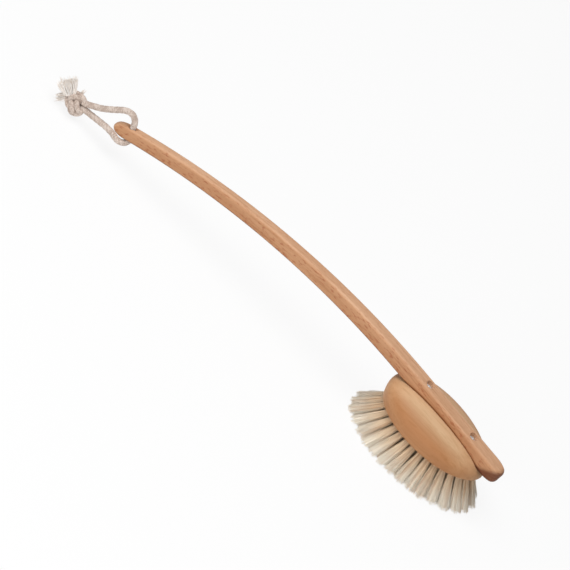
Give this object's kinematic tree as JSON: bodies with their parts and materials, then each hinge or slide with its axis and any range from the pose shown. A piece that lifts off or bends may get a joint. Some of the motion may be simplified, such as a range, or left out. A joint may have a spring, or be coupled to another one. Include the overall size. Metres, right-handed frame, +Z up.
{
  "type": "body dry brush",
  "caption": "Body dry brush with a long bent wooden handle screwed to an oval wooden head, fanned natural bristles and a knotted cord loop for hanging.",
  "frame": {"origin": "middle of the bounding box of the brush without its cord, at the bristle tips it stands on", "axes": "+X along the handle towards the head, +Z up from the bristle tips to the back of the head"},
  "size_m": [0.5161, 0.085, 0.076],
  "materials": {
    "handle_wood": "satin",
    "block_wood": "satin",
    "screw_steel": "bright",
    "plant_fibre": "matte",
    "anchor_wire": "plain",
    "cotton_cord": "matte"
  },
  "bodies": {
    "brush": {"handle": "handle_wood", "head_block": "block_wood", "screw_toe": "screw_steel", "screw_heel": "screw_steel", "bristles_outer": "plant_fibre", "bristles_middle": "plant_fibre", "bristles_core": "plant_fibre", "tuft_anchors": "anchor_wire"},
    "hanging_loop": {"cord_upper": "cotton_cord", "cord_lower": "cotton_cord", "cord_knot": "cotton_cord", "cord_tail": "cotton_cord", "cord_stub": "cotton_cord"}
  },
  "joints": [
    {"name": "loop_swing", "type": "hinge", "parent": "brush", "child": "hanging_loop", "pos_m": [-0.21048, 0, 0.03059], "axis": [-0.3041, 0, 0.9526], "range_deg": [-90, 90]}
  ]
}
